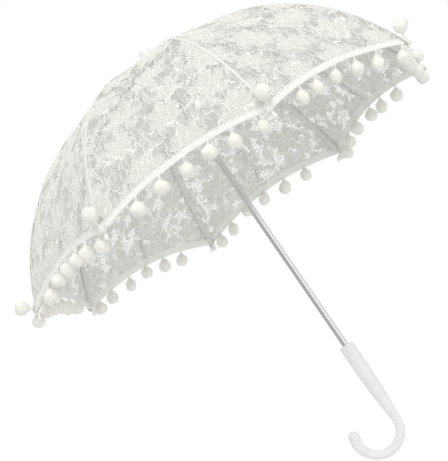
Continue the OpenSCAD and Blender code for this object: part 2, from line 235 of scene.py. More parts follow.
def new_piece(name, points, faces, finish):
    """A smooth mesh object at the origin, with its place in its mesh."""
    mesh = bpy.data.meshes.new(name)
    mesh.from_pydata([tuple(p) for p in points], [], faces)
    mesh.materials.append(finish.material)
    mesh.polygons.foreach_set("use_smooth", np.full(len(mesh.polygons), True))
    return linked(name, mesh)


def linked(name, data):
    """An object of its own for a mesh, a lamp or a camera, in the scene."""
    piece = bpy.data.objects.new(name, data)
    bpy.context.scene.collection.objects.link(piece)
    return piece


def swept(sections, finish, name, looped=False):
    """A closed body through a list of rings of points, all with the same count."""
    rings = np.asarray(sections)
    rows, count = rings.shape[:2]
    faces = []
    for r in range(rows if looped else rows - 1):
        for c in range(count):
            d, ahead = (c + 1) % count, (r + 1) % rows
            faces.append((r * count + c, r * count + d, ahead * count + d, ahead * count + c))
    if not looped:
        faces.append(tuple(range(count))[::-1])
        faces.append(tuple((rows - 1) * count + c for c in range(count)))
    return new_piece(name, rings.reshape(-1, 3), faces, finish)


HANDLE_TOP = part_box("handle")[1][2]
STRAIGHT_LENGTH = 0.1015
FLARE_SHARE, FALL_POWER = 0.12, 2.1     # where the grip is widest, and how late it narrows
LIP = 0.0013
COLLAR_RADIUS, GRIP_RADIUS, ROD_RADIUS, END_RADIUS = 0.0086, 0.0088, 0.0054, 0.0066
CROOK_RADIUS = 0.0270
CROOK_SWEEP, SWELL_ANGLE = math.radians(200), math.radians(70)
BORE_RADIUS = 0.0041


def grip_radius(share):
    """Radius of the straight part at a share of the way down to the crook."""
    if share < FLARE_SHARE:
        return COLLAR_RADIUS + (GRIP_RADIUS - COLLAR_RADIUS) * math.sin(math.pi / 2 * share / FLARE_SHARE)
    fall = ((share - FLARE_SHARE) / (1 - FLARE_SHARE)) ** FALL_POWER
    return ROD_RADIUS + (GRIP_RADIUS - ROD_RADIUS) * (1 + math.cos(math.pi * fall)) / 2


# Rings down the handle: x, z, radius and how far the crook has bent there.
stations = [(0, HANDLE_TOP - 0.0030, BORE_RADIUS, 0.0), (0, HANDLE_TOP - 0.0004, BORE_RADIUS, 0.0),
            (0, HANDLE_TOP, BORE_RADIUS + 0.0004, 0.0), (0, HANDLE_TOP, COLLAR_RADIUS - LIP, 0.0)]
for k in range(1, 6):
    lip = math.pi / 2 * k / 5
    stations.append((0, HANDLE_TOP - 0.0010 * (1 - math.cos(lip)),
                     COLLAR_RADIUS - LIP + LIP * math.sin(lip), 0.0))
for share in np.linspace(0.02, 1.0, 44):
    stations.append((0, HANDLE_TOP - share * STRAIGHT_LENGTH, grip_radius(share), 0.0))
for k in range(1, 61):
    bend = CROOK_SWEEP * k / 60
    thick = ROD_RADIUS + (END_RADIUS - ROD_RADIUS) * max(0.0, 1 - (CROOK_SWEEP - bend) / SWELL_ANGLE)
    stations.append((-CROOK_RADIUS + CROOK_RADIUS * math.cos(bend),
                     HANDLE_TOP - STRAIGHT_LENGTH - CROOK_RADIUS * math.sin(bend), thick, bend))
end_x, end_z, _, _ = stations[-1]
for k in range(1, 9):
    dome = math.pi / 2 * min(k / 8, 0.985)
    ahead = END_RADIUS * math.sin(dome)
    stations.append((end_x - ahead * math.sin(CROOK_SWEEP), end_z - ahead * math.cos(CROOK_SWEEP),
                     END_RADIUS * math.cos(dome), CROOK_SWEEP))
around = np.linspace(0, math.tau, 40, endpoint=False)
sections = [np.stack([x + radius * np.cos(around) * math.cos(bend), radius * np.sin(around),
                      z - radius * np.cos(around) * math.sin(bend)], axis=-1)
            for x, z, radius, bend in stations]
handle_skin = swept(np.stack(sections)[:, ::-1], pearl, "crook_handle")
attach(handle_skin, "shaft")
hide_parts("handle")

# ---- Notch, runner and ferrule: small white mouldings, harder and a little yellower than the handle.
# The rib tips are of the same plastic, pushed onto the ribs' ends.
hard_white = Finish("hard_white_plastic", Specular_IOR_Level=0.5, Coat_Weight=0.2, Coat_Roughness=0.12)
mould_flow = hard_white.speckle(120.0, 3.0, 0.6)
fine_peel = hard_white.speckle(1500.0)
hard_white.feed(Base_Color=hard_white.mix(mould_flow, (0.885, 0.875, 0.845), (0.930, 0.925, 0.905)),
                Roughness=mould_flow * 0.15 + 0.22,
                Normal=hard_white.relief(fine_peel, 0.10, 0.00004))
RIB_COUNT = 8
every_rib = range(1, RIB_COUNT + 1)
dress(["ferrule_cap", "top_notch", "runner"] + [f"rib_tip_{i}" for i in every_rib], hard_white)

# ---- Catches, pins, stop and ring wires: bare spring steel, stamped or drawn. The catches turn on
# pins through the tube, and the ring wires are threaded through the ribs' and stretchers' eyes.
bare_steel = Finish("bare_steel", Metallic=1.0)
grain = bare_steel.speckle(1400.0, 3.0, stretch=(1.0, 1.0, 0.15))
stain = bare_steel.speckle(210.0, 3.0)
bare_steel.feed(Base_Color=bare_steel.mix(stain, (0.52, 0.52, 0.53), (0.68, 0.68, 0.68)),
                Roughness=grain * 0.2 + 0.26, Normal=bare_steel.relief(grain, 0.2, 0.00004))
dress(["top_catch", "bottom_catch", "catch_pins", "runner_stop", "top_notch_wire", "runner_wire"]
      + [f"rib_rivet_{i}" for i in every_rib], bare_steel)

# ---- Ribs and stretchers: round wire, pressed flat at the eyes and dipped in satin white enamel,
# which has worn through to the steel on the edges of the pressed flats.
enamel = Finish("white_enamel", Specular_IOR_Level=0.5)
edge = enamel.node("ShaderNodeNewGeometry")[7]     # pointiness
chips = enamel.speckle(520.0, 4.0, 0.7)
worn = (edge.between(0.56, 0.66) * chips.between(0.52, 0.62)).smaller(1.0)
drips = enamel.speckle(90.0)
enamel.feed(Base_Color=enamel.mix(worn, enamel.mix(drips, (0.84, 0.84, 0.82), (0.90, 0.90, 0.88)),
                                  (0.50, 0.49, 0.47)),
            Roughness=drips * 0.12 + 0.30, Metallic=worn * 0.8,
            Normal=enamel.relief(drips, 0.15, 0.0002))
dress([f"rib_{i}" for i in every_rib] + [f"stretcher_{i}" for i in every_rib], enamel)

# ---- Lace: eight gores of floral lace, sewn together along the ribs and stretched over them.
# The ground is a fine net. The flowers are woven closer, some sheer and some dense. The
# petals and leaves that aren't sheer are outlined by a thicker cord, worked into the net.
CROWN_FLAT = 0.0250           # radius at which the ribs begin to curve down
TIP_CIRCLE = 0.2800           # radius through the ribs' ends
TIP_HEIGHT = 0.2480
HEM_AT_RIB, HEM_MIDWAY = 0.0090, 0.0250    # height of the hem above the rib tips
TAPE_WIDTH = 0.0095
LACE_START = 0.0110           # radius of the lace's top end, under the crown collar
LACE_TOP = LACE_START - CROWN_FLAT     # and its place along the rib, measured from the rib's bend
LACE_STANDS = 0.0020          # height of the lace over the ribs' middle
CROWN_LIFT = 0.0008           # rise of the lace's top end over the notch
LACE_IN_TAPE = TAPE_WIDTH * 0.4        # height of the lace's cut edge inside the tape
HOLLOW = 0.0035               # how far the lace sinks between the ribs
SLACK = 0.00045               # size of its small waves
FOLD_TURN = 0.9076            # turn of a rib from open to folded
PIVOT_RADIUS = math.hypot(*joints["rib_1_fold"]["pos_m"][:2])
PIVOT_HEIGHT = joints["rib_1_fold"]["pos_m"][2]
STEP = math.tau / RIB_COUNT
chord_angle = math.atan2(PIVOT_HEIGHT - TIP_HEIGHT, TIP_CIRCLE - CROWN_FLAT)
ARC_RADIUS = math.hypot(PIVOT_HEIGHT - TIP_HEIGHT, TIP_CIRCLE - CROWN_FLAT) / (2 * math.sin(chord_angle))
ARC_HEIGHT = PIVOT_HEIGHT - ARC_RADIUS
FOLD_KEEP = 0.42              # width that a gore keeps when the parasol is folded
rib_turn = {i: math.atan2(joints[f"rib_{i}_fold"]["pos_m"][1], joints[f"rib_{i}_fold"]["pos_m"][0])
            for i in every_rib}


def meridian(s, off=0.0):
    """Radius and height of the lace over a rib, and off it, at s along the rib from its bend."""
    turn = np.maximum(s, 0.0) / ARC_RADIUS
    lift = CROWN_LIFT * (np.minimum(s, 0.0) / LACE_TOP) ** 2
    arc = ARC_RADIUS + LACE_STANDS + off
    return CROWN_FLAT + np.minimum(s, 0.0) + arc * np.sin(turn), ARC_HEIGHT + arc * np.cos(turn) + lift


def reach(height):
    """Length along the rib at which the lace comes down to a height."""
    return ARC_RADIUS * np.arccos((height - ARC_HEIGHT) / (ARC_RADIUS + LACE_STANDS))


def hem_height(across):
    away = np.clip(1 - np.abs(across), 0.0, None)
    return TIP_HEIGHT + HEM_MIDWAY - (HEM_MIDWAY - HEM_AT_RIB) * away ** 2


# The flat cut of a gore, from its midline: distance down it, and half its width, at each s.
s_table = np.linspace(LACE_TOP, 0.335, 900)
radius_table, height_table = meridian(s_table)
down_table = np.concatenate([[0], np.cumsum(np.hypot(
    np.diff(radius_table * math.cos(STEP / 2)), np.diff(height_table)))])
half_table = radius_table * math.sin(STEP / 2)


def crumple(flat_x, flat_y, gore):
    """Small slack waves of the stretched lace, in metres, the same for both halves of a gore."""
    phase = 1.7 * gore
    wave = (np.sin(flat_x * 95 + 2.3 * np.sin(flat_y * 31 + phase) + phase)
            + 0.7 * np.sin(flat_x * 41 - flat_y * 37 + 2.1 * phase)
            + 0.5 * np.sin(flat_y * 73 + 1.9 * np.sin(flat_x * 57) + 3.3 * phase))
    return SLACK * wave


def cloth(s, across, off, rib):
    """Points of the canopy near a rib, or off it. across is -1 and 1 on the midlines of its two gores."""
    radius, height = meridian(s, off)
    side, share = np.sign(across), np.abs(across)
    soft = (np.sqrt(share ** 2 + 0.0016) - 0.04) * (1 + 0.04 * share)
    half = radius * math.sin(STEP / 2)
    down = np.interp(s, s_table, down_table)
    flat_x = -side * (1 - share) * half
    gore = np.where(side > 0, rib, np.where(side < 0, (rib - 2) % RIB_COUNT + 1, 0))
    taut = np.sin(np.clip(share, 0, 1) * math.pi / 2) ** 2 * np.clip((s - 0.01) / 0.05, 0, 1)
    slack = np.where(gore > 0, crumple(flat_x, down, gore), 0.0) * taut
    hollow = (HOLLOW * np.sin(np.clip(share, 0, 1.3) * math.pi / 2) ** 2 * np.clip(s / 0.3, 0, 1)
              * np.sin(np.clip(s / 0.31, 0, 1) * math.pi))
    turn = np.maximum(s, 0.0) / ARC_RADIUS
    out = slack - hollow
    x = radius * (1 - soft / 2 * (1 - math.cos(STEP))) + out * np.sin(turn)
    y = side * radius * share / 2 * math.sin(STEP)
    z = height + out * np.cos(turn)
    angle = rib_turn[rib]
    return np.stack([x * math.cos(angle) - y * math.sin(angle),
                     x * math.sin(angle) + y * math.cos(angle), z], axis=-1)


def tucked(across, s):
    """How far the lace goes on past a gore's midline, under its neighbour: it is drawn out from
    there when the canopy gathers towards its ribs."""
    turn = np.maximum(s, 0.0) / ARC_RADIUS
    run = CROWN_FLAT + np.minimum(s, 0.0) + ARC_RADIUS * np.sin(turn)
    drop = ARC_RADIUS * (1 - np.cos(turn))
    folded = PIVOT_RADIUS + (run - PIVOT_RADIUS) * math.cos(FOLD_TURN) - drop * math.sin(FOLD_TURN)
    return np.clip(folded / run / FOLD_KEEP - 1, 0.03, 0.62)


SHEER, EYE, POINTED = range(3)    # kinds of petal
BLOOM_SPACING, ROW_SPACING = 0.060, 0.043


def petals_of(gore):
    """The flowers of one gore on its flat cut, as (x, y, half length, half width, turn, kind)."""
    draw = random.Random(400 + gore)
    found, row, count = [], -0.01 + 0.02 * draw.random(), 0
    while row < 0.36:
        shift = draw.uniform(-0.012, 0.012) + (BLOOM_SPACING / 2 if count % 2 else 0.0)
        for place in np.arange(-0.180, 0.19, BLOOM_SPACING):
            x, y = place + shift + draw.uniform(-0.006, 0.006), row + draw.uniform(-0.006, 0.006)
            found += bloom(draw, x, y)
            for _ in range(3):
                angle = draw.uniform(0, math.tau)
                found.append((x + 0.029 * math.cos(angle), y + 0.029 * math.sin(angle),
                              draw.uniform(0.0068, 0.0100), draw.uniform(0.0052, 0.0074),
                              draw.uniform(0, math.tau), SHEER))
        row += ROW_SPACING + draw.uniform(-0.003, 0.003)
        count += 1
    return found


def bloom(draw, x, y):
    """A dense open flower: an eye in its middle, and pointed petals round it."""
    turn, size = draw.uniform(0, math.tau), draw.uniform(1.0, 1.45)
    petals = draw.choice((6, 7, 8))
    found = [(x, y, 0.0072 * size, 0.0068 * size, turn, EYE), (x, y, 0.0030 * size, 0.0030 * size, 0.0, EYE)]
    for k in range(petals):
        angle = turn + k * math.tau / petals + draw.uniform(-0.15, 0.15)
        out = 0.0112 * size * draw.uniform(0.9, 1.1)
        found.append((x + out * math.cos(angle), y + out * math.sin(angle),
                      0.0078 * size * draw.uniform(0.8, 1.2), 0.0040 * size, angle, POINTED))
    return found


gore_petals = {gore: petals_of(gore) for gore in every_rib}


def pointed(a):
    """Width of a pointed petal at a share of its half length, as a share of an ellipse's."""
    return np.sqrt(np.clip(1.15 - a ** 2, 0.08, None))


def petal_distance(flat_x, flat_y, gore):
    """Distance from a petal's edge, in millimetres, below 0 inside, and whether that petal is dense."""
    nearest, dense = np.full(flat_x.shape, 30.0), np.zeros(flat_x.shape)
    for x, y, length, width, turn, kind in gore_petals[gore]:
        dx, dy = flat_x - x, flat_y - y
        near = dx ** 2 + dy ** 2 < (length + 0.006) ** 2
        if not near.any():
            continue
        a = (dx[near] * math.cos(turn) + dy[near] * math.sin(turn)) / length
        b = (dy[near] * math.cos(turn) - dx[near] * math.sin(turn)) / width
        if kind == POINTED:
            b = b / pointed(a)
        k = np.sqrt(a ** 2 + b ** 2)
        slope = np.sqrt((a / length) ** 2 + (b / width) ** 2)
        distance = np.where(k > 0.05, k * (k - 1) / np.maximum(slope, 1e-6), -min(length, width)) * 1000
        closer = distance < nearest[near]
        where = np.flatnonzero(near)[closer]
        nearest.flat[where] = distance[closer]
        dense.flat[where] = 0.0 if kind == SHEER else 1.0
    return nearest, dense


lace = Finish("lace", Specular_IOR_Level=0.2, Sheen_Weight=0.15, Sheen_Roughness=0.4)
cut = lace.node("ShaderNodeUVMap", uv_map="gore")[0]
motif = lace.node("ShaderNodeUVMap", uv_map="petals")[0]
distance, dense, _ = lace.node("ShaderNodeSeparateXYZ", {"Vector": motif})
wander = lace.node("ShaderNodeTexNoise", {"Vector": cut, "Scale": 240.0, "Detail": 1.0})[1]
pulled = lace.vector("MULTIPLY_ADD", wander, (0.0022, 0.0022, 0.0), cut)


def mesh_net(coordinates, holes_per_metre, irregular):
    """Distance to the nearest thread of a net."""
    return lace.node("ShaderNodeTexVoronoi", {
        "Vector": coordinates, "Scale": holes_per_metre, "Randomness": irregular},
        feature="DISTANCE_TO_EDGE", voronoi_dimensions="2D")[0]


net = mesh_net(lace.stretched(pulled, (1.0, 0.72, 1.0)), 330.0, 0.95)
fine_net = mesh_net(cut, 900.0, 0.5)
drift = lace.node("ShaderNodeTexNoise", {"Vector": cut, "Scale": 70.0, "Detail": 2.0})[1]
strayed = lace.vector("MULTIPLY_ADD", drift, (0.016, 0.016, 0.0), cut)
strands = mesh_net(lace.stretched(strayed, (1.0, 0.30, 1.0)), 125.0, 1.0)
patchy = lace.speckle(75.0, 3.0, 0.6, on=cut)
warp_threads = lace.speckle(900.0, 2.0, 0.6, stretch=(1.0, 0.05, 1.0), on=pulled)
inside = distance.between(0.15, -0.15)
solid = dense.between(0.2, 0.8)
outline = distance.size().between(0.70, 0.30) * (0.45 + solid * 0.55)
strand = strands.between(0.055, 0.030)
closed_up = patchy.between(0.52, 0.45)
open_cell = net.between(0.07, 0.14) * (1.0 - closed_up * 0.8) * (1.0 - strand)
sheer_hole = fine_net.between(0.12, 0.22) * 0.62
ground = 1.0 - open_cell * 0.96
weave = solid * (1.0 - fine_net.between(0.2, 0.3) * 0.10) + (1.0 - solid) * (1.0 - sheer_hole)
cover = (ground * (1.0 - inside) + weave * inside).larger(outline)
NET_SHADE, NET_LIGHT = (0.520, 0.518, 0.492), (0.825, 0.821, 0.782)
SHEER_GREY, DENSE_GREY, WARP_LIGHT = (0.545, 0.545, 0.530), (0.705, 0.702, 0.668), (0.82, 0.815, 0.775)
thread_colour = lace.mix(warp_threads.between(0.35, 0.62), NET_SHADE, NET_LIGHT)
woven_colour = lace.mix(solid, SHEER_GREY, DENSE_GREY)
woven_colour = lace.mix(warp_threads.between(0.48, 0.70) * 0.5, woven_colour, WARP_LIGHT)
colour = lace.mix(inside, thread_colour, woven_colour)
colour = lace.mix(outline.larger(strand), colour, (0.94, 0.936, 0.905))
height = (net.between(0.30, 0.02) * (1.0 - inside) + inside * solid * 0.7 + outline.larger(strand) * 0.9
          + warp_threads * 0.35 + fine_net.between(0.3, 0.0) * inside * 0.2)
lace.feed(Base_Color=colour, Alpha=cover, Roughness=0.74 - outline * 0.2,
          Normal=lace.relief(height, 0.9, 0.0004))

LACE_ROWS, LACE_COLUMNS, TUCK_COLUMNS = 170, 46, 10
TUCK_DEPTH = 0.00035          # how far a tucked edge lies under its neighbour


def gore_beside(rib, side):
    """The gore on the side of a rib with the larger (1) or smaller (-1) angle."""
    return rib if side > 0 else (rib - 2) % RIB_COUNT + 1


def lay_uv(piece, layer, values):
    """Gives a piece a UV layer from one pair of values for each vertex."""
    corner = np.empty(len(piece.data.loops), dtype=np.int64)
    piece.data.loops.foreach_get("vertex_index", corner)
    piece.data.uv_layers.new(name=layer).data.foreach_set("uv", values[corner].astype(np.float32).ravel())


rows = np.linspace(0.0, 1.0, LACE_ROWS + 1)[:, None]
share = np.concatenate([np.linspace(0.0, 1.0, LACE_COLUMNS + 1), 1.0 + np.linspace(0.1, 1.0, TUCK_COLUMNS)])
beyond = np.clip(share - 1.0, 0.0, None)[None, :]
order = np.arange(len(rows) * len(share)).reshape(len(rows), len(share))
quads = np.stack([order[:-1, :-1], order[1:, :-1], order[1:, 1:], order[:-1, 1:]], axis=-1)
for i in every_rib:
    points, gore_uv, petal_uv = [], [], []
    for side in (-1, 1):
        gore = gore_beside(i, side)
        end = reach(hem_height(np.minimum(share, 1.0)) + LACE_IN_TAPE)
        grid_s = LACE_TOP + (end - LACE_TOP) * rows
        grid_u = np.where(beyond > 0, 1.0 + beyond * tucked(share, grid_s), share[None, :])
        end = reach(hem_height(np.clip(2 - grid_u, 0, 1)) + LACE_IN_TAPE)
        grid_s = np.where(beyond > 0, LACE_TOP + (end - LACE_TOP) * rows, grid_s)
        under = np.clip((grid_u - 0.985) / 0.03, 0.0, 1.0) * TUCK_DEPTH
        points.append(cloth(grid_s, side * grid_u, -under, i).reshape(-1, 3))
        flat_x = -side * (1 - grid_u) * np.interp(grid_s, s_table, half_table)
        flat_y = np.interp(grid_s, s_table, down_table)
        gore_uv.append(np.stack([flat_x + 0.4 * gore, flat_y], axis=-1).reshape(-1, 2))
        petal_uv.append(np.stack(petal_distance(flat_x, flat_y, gore), axis=-1).reshape(-1, 2))
    faces = np.concatenate([quads[..., ::-1].reshape(-1, 4), quads.reshape(-1, 4) + order.size])
    piece = new_piece(f"lace_gores_{i}", np.concatenate(points), faces.tolist(), lace)
    lay_uv(piece, "gore", np.concatenate(gore_uv))
    lay_uv(piece, "petals", np.concatenate(petal_uv))

# ---- Outlines: a soft white cord round each petal and leaf that isn't sheer, and long stems that
# wander down the gores between them. They are worked into the net, and stand a little above it.
class Maker(Recipe):
    """A Geometry Nodes tree with named inputs, whose result is taken as a plain mesh."""

    def __init__(self, name, **sizes):
        super().__init__(bpy.data.node_groups.new(name, "GeometryNodeTree"))
        face, self.names = self.tree.interface, {}
        face.new_socket("Geometry", in_out="INPUT", socket_type="NodeSocketGeometry")
        face.new_socket("Geometry", in_out="OUTPUT", socket_type="NodeSocketGeometry")
        for key, value in {**sizes, "Material": None}.items():
            kind = {int: "Int", float: "Float"}.get(type(value), "Material")
            socket = face.new_socket(key, in_out="INPUT", socket_type="NodeSocket" + kind)
            self.names[key] = socket.identifier
            if value is not None:
                socket.default_value = value
        self.inputs = self.tree.nodes.new("NodeGroupInput")
        self.output = self.tree.nodes.new("NodeGroupOutput")

    def given(self, name):
        return Wire(self, self.inputs.outputs[name])

    def attribute(self, name):
        return self.node("GeometryNodeInputNamedAttribute", {"Name": name}, data_type="FLOAT_VECTOR")[0]

    def upright(self, length):
        """A vector of that length along Z."""
        return self.node("ShaderNodeCombineXYZ", {2: length})[0]

    def lowered(self, geometry, drop):
        return self.node("GeometryNodeTransform", {
            "Geometry": geometry, "Translation": self.upright(drop * -1.0)})[0]

    def rod(self, route, thickness, sides):
        """A round rod along a curve."""
        ring = self.node("GeometryNodeCurvePrimitiveCircle", {
            "Resolution": sides, "Radius": thickness * 0.5})[0]
        return self.node("GeometryNodeCurveToMesh", {
            "Curve": route, "Profile Curve": ring, "Fill Caps": True})[0]

    def end(self, geometry):
        whole = self.node("GeometryNodeRealizeInstances", {0: geometry})[0]
        smooth = self.node("GeometryNodeSetShadeSmooth", {0: whole})[0]
        dressed = self.node("GeometryNodeSetMaterial", {0: smooth, 2: self.given("Material")})[0]
        self.tree.links.new(dressed.socket, self.output.inputs[0])

    def make(self, piece, finish, **sizes):
        """Puts the recipe to work on a piece, whose mesh becomes the result."""
        modifier = piece.modifiers.new("maker", "NODES")
        modifier.node_group = self.tree
        for key, value in {**sizes, "Material": finish.material}.items():
            modifier[self.names[key]] = value
        piece.update_tag()
        made = bpy.data.meshes.new_from_object(piece.evaluated_get(bpy.context.evaluated_depsgraph_get()))
        piece.modifiers.remove(modifier)
        old, piece.data = piece.data, made
        made.name = piece.name
        bpy.data.meshes.remove(old)


CORD_THICKNESS = 0.0008
cord_maker = Maker("outline_cord", Thickness=CORD_THICKNESS, Sides=5)
route = cord_maker.node("GeometryNodeMeshToCurve", {0: cord_maker.given("Geometry")})[0]
cord_maker.end(cord_maker.rod(route, cord_maker.given("Thickness"), cord_maker.given("Sides")))

cord_cotton = Finish("outline_cotton", Specular_IOR_Level=0.25, Sheen_Weight=0.2)
twist = cord_cotton.speckle(1800.0)
cord_cotton.feed(Base_Color=cord_cotton.mix(twist, (0.86, 0.855, 0.82), (0.94, 0.936, 0.905)),
                 Roughness=0.55 + twist * 0.2, Normal=cord_cotton.relief(twist, 0.5, 0.0002))


def outline_of(petal):
    """The edge of a petal, as flat points that end where they begin."""
    x, y, length, width, turn, kind = petal
    angle = np.append(np.linspace(0, math.tau, 20, endpoint=False), 0.0)
    a, b = length * np.cos(angle), width * np.sin(angle)
    if kind == POINTED:
        b = b * pointed(np.cos(angle))
    return np.stack([x + a * math.cos(turn) - b * math.sin(turn),
                     y + a * math.sin(turn) + b * math.cos(turn)], axis=-1)


def stems_of(gore):
    """Long threads that wander down a gore, as flat points."""
    draw = random.Random(900 + gore)
    found = []
    for number in range(9):
        x = (number - 4) * 0.026 + draw.uniform(-0.008, 0.008)
        drift, points, y = draw.uniform(-0.2, 0.2), [], draw.uniform(0.0, 0.05)
        stop = y + draw.uniform(0.12, 0.34)
        while y < stop:
            points.append((x, y))
            drift = 0.9 * drift + draw.uniform(-0.22, 0.22)
            x, y = x + 0.004 * drift, y + 0.004
        found.append(np.array(points))
    return found


gore_lines = {gore: [outline_of(petal) for petal in gore_petals[gore] if petal[5] != SHEER] + stems_of(gore)
              for gore in every_rib}
for i in every_rib:
    points, edges = [], []
    for side in (-1, 1):
        for line in gore_lines[gore_beside(i, side)]:
            s = np.interp(line[:, 1], down_table, s_table)
            across = 1 - np.abs(line[:, 0]) / np.interp(s, s_table, half_table)
            end = reach(hem_height(across) + TAPE_WIDTH * 0.7)
            fits = (-side * line[:, 0] >= 0) & (across > 0.02) & (s > 0.0) & (s < end) & (line[:, 1] > 0.004)
            place = cloth(s, side * across, 0.0002, i)
            last = None
            for k in np.flatnonzero(fits):
                points.append(place[k])
                if last is not None and last == k - 1:
                    edges.append((len(points) - 2, len(points) - 1))
                last = k
    mesh = bpy.data.meshes.new("routes")
    mesh.from_pydata([tuple(p) for p in points], edges, [])
    cord_maker.make(linked(f"lace_cords_{i}", mesh), cord_cotton, Thickness=CORD_THICKNESS)


# ---- Rib seams: where two gores meet, their edges are turned together into a flat felled seam over
# the rib, sewn down with a row of stitches along each side.
SEAM_WIDTH = 0.0040
SEAM_STITCH, TAPE_STITCH = 0.0031, 0.0034     # from one stitch to the next
sewn = Finish("sewn_edge", Specular_IOR_Level=0.2, Sheen_Weight=0.2)
folds = sewn.speckle(260.0, 3.0, 0.6)
fibre = sewn.speckle(2400.0)
sewn.feed(Base_Color=sewn.mix(folds, (0.72, 0.716, 0.69), (0.86, 0.856, 0.825)),
          Roughness=0.62 + fibre * 0.2, Normal=sewn.relief(folds + fibre * 0.4, 0.7, 0.0004))


def across_for(lateral, s):
    """The share across a gore that lies a distance sideways from its rib."""
    radius = meridian(s)[0]
    return np.clip(lateral / (radius * 0.5 * math.sin(STEP)), -0.8, 0.8)


stitch_maker = Maker("stitches", Length=0.0023, Thickness=0.0006)
run = stitch_maker.node("GeometryNodeCurvePrimitiveLine", {
    "Start": stitch_maker.upright(stitch_maker.given("Length") * -0.5),
    "End": stitch_maker.upright(stitch_maker.given("Length") * 0.5)})[0]
run = stitch_maker.node("GeometryNodeResampleCurve", {"Curve": run, "Count": 5})[0]
off_middle = (stitch_maker.node("GeometryNodeSplineParameter")[0] * 2.0 - 1.0).size()
run = stitch_maker.node("GeometryNodeSetCurveRadius", {
    "Curve": run, "Radius": 1.0 - off_middle * off_middle * 0.55})[0]
stitch_maker.end(stitch_maker.node("GeometryNodeInstanceOnPoints", {
    "Points": stitch_maker.given("Geometry"),
    "Instance": stitch_maker.rod(run, stitch_maker.given("Thickness"), 5),
    "Rotation": stitch_maker.attribute("lie")})[0])


def points_piece(name, points, **attributes):
    """Loose points with vector attributes, for a maker to put instances on."""
    mesh = bpy.data.meshes.new(name)
    mesh.from_pydata([tuple(p) for p in points], [], [])
    for key, values in attributes.items():
        layer = mesh.attributes.new(key, "FLOAT_VECTOR", "POINT")
        layer.data.foreach_set("vector", np.asarray(values, dtype=np.float32).ravel())
    return linked(name, mesh)


def lie_along(line, spacing):
    """Points spaced along a line, and the Euler turns that lay Z along it."""
    line = np.asarray(line)
    run = np.concatenate([[0], np.cumsum(np.linalg.norm(np.diff(line, axis=0), axis=1))])
    places = np.arange(spacing, run[-1] - spacing, spacing)
    middle = np.stack([np.interp(places, run, line[:, k]) for k in range(3)], axis=-1)
    ahead = np.stack([np.interp(places + 0.001, run, line[:, k]) for k in range(3)], axis=-1) - middle
    turns = [tuple(Vector(v).to_track_quat("Z", "Y").to_euler()) for v in ahead]
    return middle, turns


SEAM_END = reach(TIP_HEIGHT + HEM_AT_RIB + 0.004)
# Outline of the seam: share of its half width, and height over the lace.
seam_shape = [(-1.0, -0.0001), (-0.9, 0.0003), (-0.5, 0.00040), (-0.15, 0.00055), (0.15, 0.00055),
              (0.5, 0.00040), (0.9, 0.0003), (1.0, -0.0001), (0.5, -0.0003), (-0.5, -0.0003)]
for i in every_rib:
    s = np.concatenate([np.linspace(LACE_TOP + 0.004, 0.0, 6)[:-1], np.linspace(0.0, SEAM_END, 130)])
    gather = 1 + 0.07 * np.sin(s * 1250 + i) + 0.05 * np.sin(s * 610 + 2 * i)
    sections = [cloth(s, across_for(side * SEAM_WIDTH / 2 * gather, s), up, i)
                for side, up in seam_shape]
    swept(np.stack(sections, axis=1), sewn, f"rib_seam_{i}")
    spots, turns = [], []
    for side in (-0.78, 0.78):
        line = cloth(s[6:], across_for(side * SEAM_WIDTH / 2, s[6:]), 0.0004, i)
        where, lie = lie_along(line, SEAM_STITCH)
        spots.append(where)
        turns += lie
    stitch_maker.make(points_piece(f"seam_stitches_{i}", np.concatenate(spots), lie=turns), sewn)

# ---- Rib channels: a soft band sewn to the underside of each seam, which the rib runs through. It is
# open for a finger's width at the stretcher's rivet.
open_band = Finish("open_band", Specular_IOR_Level=0.2, Sheen_Weight=0.2)
band_folds = open_band.speckle(260.0, 3.0, 0.6)
band_net = open_band.node("ShaderNodeTexVoronoi", {
    "Vector": open_band.place(), "Scale": 1100.0, "Randomness": 0.6}, feature="DISTANCE_TO_EDGE")[0]
open_band.let_through(0.25, (0.97, 0.965, 0.94))
open_band.feed(Base_Color=open_band.mix(band_folds, (0.86, 0.856, 0.83), (0.94, 0.936, 0.91)),
               Alpha=1.0 - band_net.between(0.10, 0.22) * 0.50, Roughness=0.66 + band_folds * 0.2,
               Normal=open_band.relief(band_folds + band_net * 0.4, 0.6, 0.0004))
# Outline of the channel: distance sideways, and height over the lace.
channel_shape = [(-0.0047, -0.0002), (-0.0043, -0.0017), (-0.0034, -0.0032), (-0.0018, -0.0037),
                 (0.0, -0.0038), (0.0018, -0.0037), (0.0034, -0.0032), (0.0043, -0.0017),
                 (0.0047, -0.0002), (0.0, -0.0003)]
CHANNEL_TOP, RIVET_GAP = 0.022, 0.012
rivet_height = sum(corner[2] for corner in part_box("rib_rivet_1")) / 2
rivet_s = ARC_RADIUS * math.acos((rivet_height - ARC_HEIGHT) / ARC_RADIUS)
channel_ends = {"upper": (CHANNEL_TOP, rivet_s - RIVET_GAP), "lower": (rivet_s + RIVET_GAP, SEAM_END)}
for i in every_rib:
    for part, (first, last) in channel_ends.items():
        s = np.linspace(first, last, int((last - first) / 0.0024))
        puff = 1 + 0.05 * np.sin(s * 410 + i) + 0.04 * np.sin(s * 930 + 2 * i)
        pinch = 1 - 0.45 * np.exp(-(s - first) / 0.002) - 0.45 * np.exp(-(last - s) / 0.002)
        depth = (0.96 + 0.04 * pinch) * puff
        sections = [cloth(s, across_for(side * puff, s), up * depth, i)
                    for side, up in channel_shape]
        swept(np.stack(sections, axis=1)[:, ::-1], open_band, f"rib_channel_{part}_{i}")

